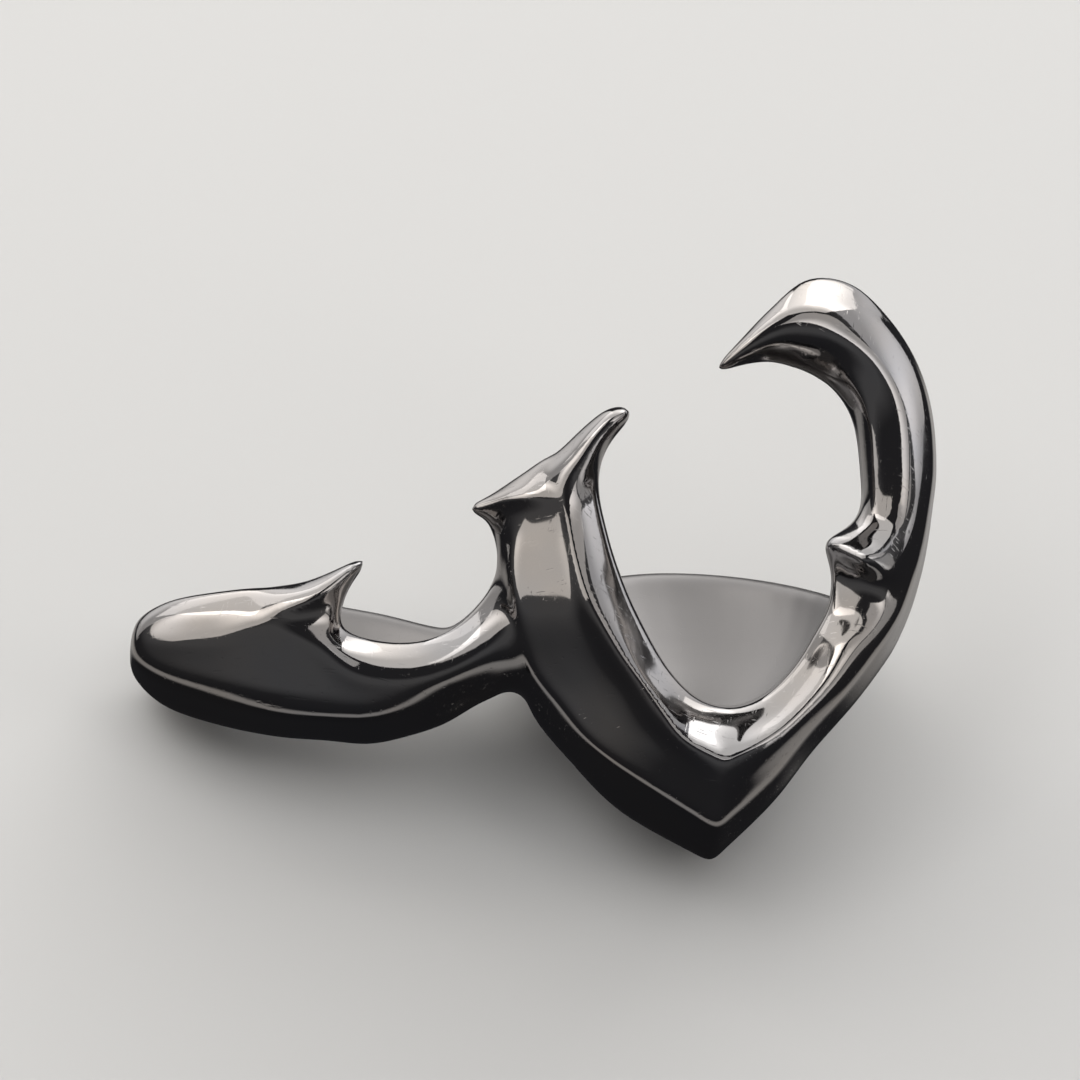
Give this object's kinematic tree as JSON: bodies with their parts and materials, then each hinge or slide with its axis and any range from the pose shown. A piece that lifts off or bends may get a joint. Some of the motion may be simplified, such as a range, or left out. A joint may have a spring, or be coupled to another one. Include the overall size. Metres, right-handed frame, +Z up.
{
  "type": "fang grill",
  "caption": "Polished fang-shaped dental grill for an upper canine and lateral incisor, an open thorned frame with a horn, a claw and a leaf-shaped wing over a plain backing.",
  "frame": {"origin": "centre of the bounding box's base, on the surface the grill lies on", "axes": "+Z up from that surface, +Y level and away from someone who looks at the face of the grill, +X to their right, from the incisor towards the canine"},
  "size_m": [0.0138, 0.0094, 0.0086],
  "materials": {
    "polished_metal": "mirror polished, dark"
  },
  "bodies": {
    "root": {"fang_grill": "polished_metal"}
  },
  "joints": []
}
